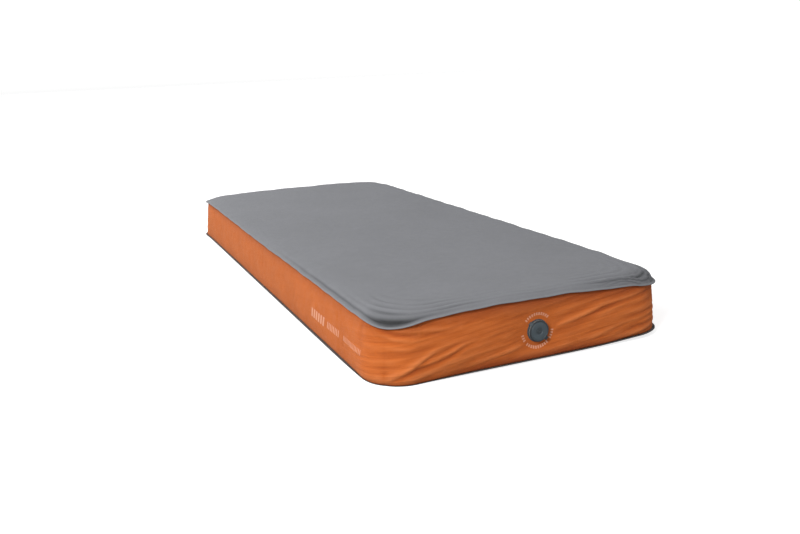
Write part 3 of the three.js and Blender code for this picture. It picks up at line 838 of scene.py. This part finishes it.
def wall_fabric():
    look = Shader("wall_fabric", 0.8)
    orange = (0.505, 0.118, 0.0200)
    along = look.attribute("along")
    loops = knit(look, along, look.z, 0.9 * MM)
    mottle = look.mix(look.noise(9, 3), shade(orange, 0.93), shade(orange, 1.05))
    threads = look.mix(look.noise(800, 2, 0, 0.3), mottle, shade(orange, 0.7))
    # Painted shade: the pits between the knit loops are darkened.
    shaded_pits = look.mix(look.math("MULTIPLY_ADD", loops, -0.16, 0.16), threads, shade(orange, 0.5))
    # Painted highlight on the crests of the folds and painted shade in their hollows.
    crease = look.attribute("crease")
    crest = look.mix(look.math("MULTIPLY", crease, 0.5, clamp=True), shaded_pits, (0.66, 0.21, 0.065))
    hollow = look.math("MULTIPLY", crease, -0.75, clamp=True)
    drawn = look.mix(hollow, crest, (0.27, 0.050, 0.008))
    # The stretched streaks are bumps and are also painted: painted shade on their dark lines, painted
    # highlight on their light lines.
    level = look.math("MULTIPLY_ADD", along, -0.13, look.z)
    stretched = {0: look.product(along, 7), 1: look.product(level, 150)}
    stretched = look.add("CombineXYZ", stretched).outputs[0]
    streaks = look.add("TexNoise", {"Vector": stretched, "Scale": 1, "Detail": 3})
    streak = look.math("MULTIPLY_ADD", streaks.outputs["Fac"], 4, -2)
    tension = look.attribute("tension")
    streak_shade = look.product(look.math("MULTIPLY", streak, -0.30, clamp=True), tension)
    streak_highlight = look.product(look.math("MULTIPLY", streak, 0.22, clamp=True), tension)
    lined = look.mix(streak_shade, drawn, (0.22, 0.038, 0.007))
    shaded = look.mix(streak_highlight, lined, (0.66, 0.20, 0.055))
    # Painted shade under the top lip and along the foot of the wall.
    low = look.mix(look.attribute("under"), shaded, (0.20, 0.032, 0.006))
    ink = look.product(look.either(ring_print(look), side_print(look)), 0.4)
    look.color(look.mix(ink, low, (0.86, 0.55, 0.42)))
    look.rough(0.7, 0.92, 45)
    pulled = look.product(streak, tension, 2.2)
    look.relief(look.math("ADD", loops, pulled), 0.3 * MM, 0.8)
    look.sheen(0.07, 0.45, (1, 0.75, 0.5))
    look.put("Specular IOR Level", 0.18)
    return look.material


def base_fabric():
    look = Shader("base_fabric", 0.8)
    dark = (0.024, 0.017, 0.014)
    loops = knit(look, look.x, look.y, 0.8 * MM)
    mottle = look.mix(look.noise(8, 3), shade(dark, 0.85), shade(dark, 1.25))
    waves_both_ways = look.product(look.ripple(look.x, 14 * MM), look.ripple(look.y, 14 * MM))
    dots = look.math("GREATER_THAN", waves_both_ways, 0.62)
    grips = look.product(dots, look.math("LESS_THAN", look.z, 1 * MM))
    look.color(look.mix(grips, mottle, (0.055, 0.045, 0.04)))
    look.rough(0.6, 0.9, 40)
    look.relief(look.math("MULTIPLY_ADD", grips, 1.5, loops), 0.25 * MM, 0.8)
    look.sheen(0.1, 0.5, (0.8, 0.8, 0.8))
    return look.material


def foam_material():
    look = Shader("open_cell_foam", 0.95)
    cells = look.add("TexVoronoi", {"Vector": look.place, "Scale": 420}).outputs["Distance"]
    cream = look.mix(look.noise(6, 3), (0.62, 0.56, 0.40), (0.70, 0.64, 0.48))
    look.color(look.mix(look.product(cells, 0.6), cream, (0.40, 0.35, 0.24)))
    look.relief(cells, 1 * MM, 0.8)
    return look.material


def tape_material():
    look = Shader("seam_tape", 0.45)
    orange = (0.50, 0.125, 0.03)
    look.color(look.mix(look.noise(30, 3), shade(orange, 0.85), shade(orange, 1.05)))
    look.rough(0.35, 0.55, 90)
    look.relief(knit(look, look.x, look.z, 1.2 * MM), 0.1 * MM, 0.5)
    return look.material


def moulded(name, color, roughness, grain, bright=1.25):
    """Moulded plastic or rubber: a fine spark-eroded grain, faint flow marks and rubbed spots."""
    look = Shader(name, roughness)
    flow = look.mix(look.noise(60, 3), shade(color, 0.9), shade(color, 1.1))
    rubbed = look.noise(240, 5, -1.2, 0.55)
    wear_and_crest_light = look.mix(look.math("MULTIPLY", rubbed, 0.6, clamp=True), flow, shade(color, bright))
    look.color(look.mix(look.attribute("shadowed"), wear_and_crest_light, shade(color, 0.4)))
    look.rough(roughness - 0.09, roughness + 0.1, 320)
    look.relief(look.noise(grain, 3), 0.06 * MM, 0.6)
    return look.material


def spring_material():
    look = Shader("spring_wire", 0.3)
    look.put("Metallic", 1)
    look.color(look.mix(look.noise(900, 3), (0.42, 0.43, 0.44), (0.62, 0.63, 0.64)))
    look.rough(0.2, 0.4, 700)
    look.relief(look.noise(2500, 2), 0.02 * MM, 0.4)
    return look.material


# ---- the valve
# The valve's own frame, in mm: X towards the pull tab, Z out of the wall.
VALVE_FRAME = (
    Matrix.Translation(VALVE) @ Matrix.Rotation(math.pi / 2, 4, "X")
    @ Matrix.Rotation(TAB_TURN, 4, "Z") @ Matrix.Scale(MM, 4)
)


def reach(node):
    """How far a valve node reaches out of the wall, inner and outer end in mm, and its radius."""
    low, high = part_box(node)
    return (VALVE.y - high.y) / MM, (VALVE.y - low.y) / MM, (high.x - low.x) / 2 / MM


def rounded(profile, radius):
    """The profile with its corners rounded off. A profile that ends where it starts is a loop."""
    loop = profile[0] == profile[-1]
    points = [np.array(p, float) for p in (profile[:-1] if loop else profile)]
    result = []
    for k, here in enumerate(points):
        if not loop and k in (0, len(points) - 1):
            result.append(here)
            continue
        sides = [points[k - 1] - here, points[(k + 1) % len(points)] - here]
        lengths = [np.linalg.norm(side) for side in sides]
        cut = min(radius, 0.45 * min(lengths))
        start, end = (here + side / length * cut for side, length in zip(sides, lengths))
        for t in (0, 0.33, 0.67, 1):
            result.append((1 - t) ** 2 * start + 2 * t * (1 - t) * here + t * t * end)
    if loop:
        result.append(result[0])
    return result


def join_rings(mesh, rings):
    """Makes faces between each ring of vertices and the next. A pole's ring is one vertex."""
    sides = len(rings[0])
    for near, far in zip(rings, rings[1:]):
        for k in range(sides):
            corners = [near[k], near[(k + 1) % sides], far[(k + 1) % sides], far[k]]
            corners = list(dict.fromkeys(corners))
            if len(corners) > 2:
                mesh.faces.new(corners)


def lathe(name, profile, material, radius=0.25, segments=96, squeeze=None):
    """Turns a profile of (radius, height) in mm round the valve's axis."""
    mesh = bmesh.new()
    rings = []
    for r, z in rounded(profile, radius):
        if r < 1e-6:
            rings.append([mesh.verts.new((0, 0, z))] * segments)
            continue
        ring = []
        for k in range(segments):
            angle = math.tau * k / segments
            far = r * (squeeze(r, z, angle) if squeeze else 1)
            ring.append(mesh.verts.new((far * math.cos(angle), far * math.sin(angle), z)))
        rings.append(ring)
    if profile[0] == profile[-1]:
        bmesh.ops.delete(mesh, geom=rings[-1], context="VERTS")
        rings[-1] = rings[0]
    join_rings(mesh, rings)
    return valve_object(name, mesh, material)


def tube(name, sections, material):
    """A tube with flat ends through sections of points in the valve's frame, in mm."""
    mesh = bmesh.new()
    rings = [[mesh.verts.new(point) for point in section] for section in sections]
    join_rings(mesh, rings)
    mesh.faces.new(rings[0])
    mesh.faces.new(rings[-1][::-1])
    return valve_object(name, mesh, material)


def rounded_block(name, low, high, material, bevel=0.4):
    mesh = bmesh.new()
    bmesh.ops.create_cube(mesh, size=1)
    for vertex in mesh.verts:
        vertex.co = Vector(low[k] + (vertex.co[k] + 0.5) * (high[k] - low[k]) for k in range(3))
    bmesh.ops.bevel(mesh, geom=mesh.edges[:], offset=bevel, segments=3, profile=0.5, affect="EDGES")
    return valve_object(name, mesh, material)


def valve_object(name, mesh, material):
    """Puts a bmesh that is in the valve's own frame into the scene."""
    bmesh.ops.recalc_face_normals(mesh, faces=mesh.faces[:])
    mesh.transform(VALVE_FRAME)
    data = bpy.data.meshes.new(name)
    mesh.to_mesh(data)
    mesh.free()
    data.shade_smooth()
    data.materials.append(material)
    return add_object(name, data)


def united(item, *others):
    for other in others:
        with_modifier(item, "BOOLEAN", operation="UNION", solver="EXACT", object=other)
        bpy.data.objects.remove(other)
    item.data.shade_smooth()
    item.data.set_sharp_from_angle(angle=math.radians(40))
    return item


def ring_profile(inner, outer, bottom, top):
    return [(inner, bottom), (outer, bottom), (outer, top), (inner, top), (inner, bottom)]


def cap_piece(material):
    low, top, _ = reach("cap")
    rim = top - 3
    seal_low, seal_top, _ = reach("cap_seal")
    grip = 25.5

    def ribs(r, z, angle):
        on_side = grip - 0.9 < r and rim + 0.5 < z < top - 0.5
        return 1 - 0.008 * on_side * (0.5 + 0.5 * math.cos(48 * angle)) ** 2

    disc = lathe("cap_disc", [
        (0, rim + 0.3), (13.2, rim + 0.3), (13.2, low), (16.9, low), (16.9, seal_low - 0.3),
        (15.4, seal_low - 0.3), (15.4, seal_top + 0.3), (16.9, seal_top + 0.3), (16.9, rim),
        (grip - 0.8, rim), (grip, rim + 0.8), (grip, top - 0.8), (grip - 0.8, top), (22.4, top),
        (21.9, top - 0.7), (21.1, top - 0.7), (20.6, top), (14, top), (9, top), (8.5, top - 1),
        (4.6, top - 1), (4.2, top - 0.45), (2.6, top - 0.45), (2.3, top - 1), (0, top - 1),
    ], material, 0.3, 192, ribs)
    tab = rounded_block("tab", (23.6, -5, rim + 0.2), (31.4, 5, top - 0.9), material, 0.7)
    ridge = rounded_block("ridge", (29.6, -3.8, top - 1.6), (30.7, 3.8, top - 0.45), material, 0.3)
    cap = united(disc, tab, ridge)
    far = from_valve(*read_points(cap.data).T) / MM
    shadowed = np.maximum(ramp(20.5, 24, far), 0.7 * ramp(9, 7.2, far))
    mark(cap, "shadowed", shadowed)
    return cap


def strap_piece(material):
    """The soft strap from the ring's lug, past the bend line, into the cap's edge."""
    path = np.array([
        (-27.4, 1.25), (-28.6, 1.3), (-29.2, 1.75), (-29.0, 2.8), (-28.6, 4.0), (-28.5, 5.0),
        (-28.6, 6.0), (-28.7, 6.9), (-28.3, 7.6), (-27.4, 7.9), (-26.4, 7.95), (-25.2, 7.95),
    ])
    steps = np.linspace(0, len(path) - 1, 4 * len(path))
    line = np.column_stack([np.interp(steps, np.arange(len(path)), path[:, k]) for k in range(2)])
    for _ in range(4):
        line[1:-1] = (line[:-2] + 2 * line[1:-1] + line[2:]) / 4
    ahead = np.gradient(line, axis=0)
    ahead /= np.linalg.norm(ahead, axis=1, keepdims=True)
    side = np.column_stack([-ahead[:, 1], ahead[:, 0]])
    sections = []
    for (x, z), (turn_x, turn_z), share in zip(line, side, np.linspace(0, 1, len(line))):
        waist = math.sin(math.pi * share)
        thin, half = 0.6 - 0.2 * waist, 5 - 0.9 * waist
        edge = [(-half, -0.6), (-half + 0.3, -1), (half - 0.3, -1), (half, -0.6), (half, 0.6),
                (half - 0.3, 1), (-half + 0.3, 1), (-half, 0.6)]
        sections.append([(x + turn_x * thin * k, y, z + turn_z * thin * k) for y, k in edge])
    item = tube("strap", sections, material)
    item.data.set_sharp_from_angle(angle=math.radians(50))
    return item


def insert_piece(material):
    bottom, _, outer = reach("valve_insert")
    seal_low, seal_top, _ = reach("insert_seal")
    top, bore, spokes = bottom + 6.7, 13.6, bottom + 1.5
    ring = lathe("insert", [
        (bore, bottom), (outer, bottom), (outer, seal_low - 0.3), (15.6, seal_low - 0.3),
        (15.6, seal_top + 0.3), (outer, seal_top + 0.3), (outer, top), (bore, top), (bore, bottom),
    ], material, 0.25)
    hub = lathe("hub", ring_profile(1.9, 4, bottom + 0.02, spokes + 0.3), material, 0.2, 48)
    arms = []
    for k in range(2):
        for sign in (-1, 1):
            low, high = [0, 0, bottom + 0.01], [0, 0, spokes]
            low[k], high[k] = sorted((sign * 3.5, sign * 14))
            low[1 - k], high[1 - k] = -1.2, 1.2
            arms.append(rounded_block("arm", low, high, material, 0.25))
    lugs = [
        rounded_block("lug", (x - 1.2, -3.5, top - 1), (x + 1.2, 3.5, top + 2.6), material, 0.5)
        for x in (-15.45, 15.45)
    ]
    return united(ring, hub, *arms, *lugs)


def spring_piece(material):
    low, high, outer = reach("flap_spring")
    wire = 0.35
    turns, steps, sides = 3, 180, 10
    round_wire = math.tau * np.arange(sides) / sides
    far = outer - wire + wire * np.cos(round_wire)
    sections = []
    for k in range(steps + 1):
        angle = -math.tau * turns * k / steps
        height = low + wire + (high - low - 2 * wire) * k / steps + wire * np.sin(round_wire)
        sections.append(np.column_stack([far * math.cos(angle), far * math.sin(angle), height]))
    return tube("spring", sections, material)


def place(piece, node, body, slot):
    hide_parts(node)
    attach(piece, body)


def washer(name, node, body, slot, material, radius, bore=0, width=0, segments=96):
    """Puts a plain ring where the node is. It has a bore in mm or, from its edge in, a width."""
    low, high, outer = reach(node)
    profile = ring_profile(bore or outer - width, outer, low, high)
    place(lathe(name, profile, material, radius, segments), node, body, slot)


def valve():
    soft = moulded("soft_plastic", (0.044, 0.059, 0.069), 0.5, 1500)
    rigid = moulded("valve_plastic", (0.038, 0.047, 0.054), 0.42, 1200)
    rubber = moulded("silicone", (0.30, 0.29, 0.27), 0.55, 2000, 1.1)

    base_low, base_top, flange = reach("valve_base")
    neck = lathe("neck", [
        (20.5, base_low), (flange, base_low), (flange, base_low + 1.4), (24, base_low + 1.4),
        (24, 2.5), (25.3, 2.5), (25.3, base_top), (20.5, base_top), (20.5, base_low),
    ], soft, 0.3, 144)
    place(neck, "valve_base", "pad", "soft_plastic")

    ring_low, ring_top, _ = reach("strap_ring")
    band = lathe("band", ring_profile(24.3, 27.2, ring_low, ring_top), soft, 0.4, 144)
    lug = rounded_block("lug", (-29.4, -5, ring_low), (-25, 5, ring_top), soft, 0.5)
    place(united(band, lug), "strap_ring", "pad", "soft_plastic")

    washer("gasket", "body_gasket", "pad", "silicone", rubber, 0.35, bore=20.5, segments=144)

    low, high, _ = reach("valve_body")
    ledge = -9
    body = lathe("body", [
        (17.6, low), (20.2, low), (20.2, high - 1), (25, high - 1), (25, high), (17.6, high),
        (17.6, ledge), (15.9, ledge), (15.9, ledge - 1.6), (17.6, ledge - 1.6), (17.6, low),
    ], rigid, 0.25, 144)
    place(body, "valve_body", "pad", "valve_plastic")

    place(insert_piece(rigid), "valve_insert", "insert", "valve_plastic")
    washer("insert_ring", "insert_seal", "insert", "silicone", rubber, 0.45, width=1.4)
    spring = spring_piece(spring_material())
    place(spring, "flap_spring", "insert", "spring_steel")

    low, high, outer = reach("check_flap")
    profile = [(1.9, low), (outer, low + 0.35), (outer, high), (1.9, high), (1.9, low)]
    place(lathe("flap", profile, rubber, 0.3), "check_flap", "stem", "silicone")
    washer("clip", "flap_retainer", "stem", "valve_plastic", rigid, 0.3, bore=1.9, segments=48)
    low, high, outer = reach("flap_stem")
    stem = lathe("stem", [
        (0, low), (1.6, low), (1.6, high - 1.2), (outer, high - 1.2), (outer, high), (1.6, high),
        (1.2, high - 0.4), (0, high - 0.4),
    ], rigid, 0.3, 48)
    place(stem, "flap_stem", "stem", "valve_plastic")

    place(cap_piece(soft), "cap", "cap", "soft_plastic")
    washer("cap_ring", "cap_seal", "cap", "silicone", rubber, 0.45, width=1.6)

    strap = strap_piece(soft)
    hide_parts("cap_strap")
    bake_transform(strap)

    meshes = (item for item in bpy.data.objects if item.type == "MESH")
    guard = next(item for item in meshes if item.name.startswith("valve_guard"))
    guard.data.materials.clear()
    guard.data.materials.append(rigid)
    low, high, _ = reach("flap_spring")
    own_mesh(spring)


# ---- the pieces
camera()
studio()
wall, wall_surface = wall_skin()
skins = [
    (top_skin(), "top_sheet", "top_fabric"),
    (wall, "side_wall", "wall_fabric"),
    (base_skin(), "base_sheet", "base_fabric"),
    (foam_block(), "foam_core", "foam"),
]
for piece, node, slot in skins:
    place(piece, node, "pad", slot)
place(join_tape(wall_surface), "wall_join_tape", "pad", "wall_fabric")
valve()
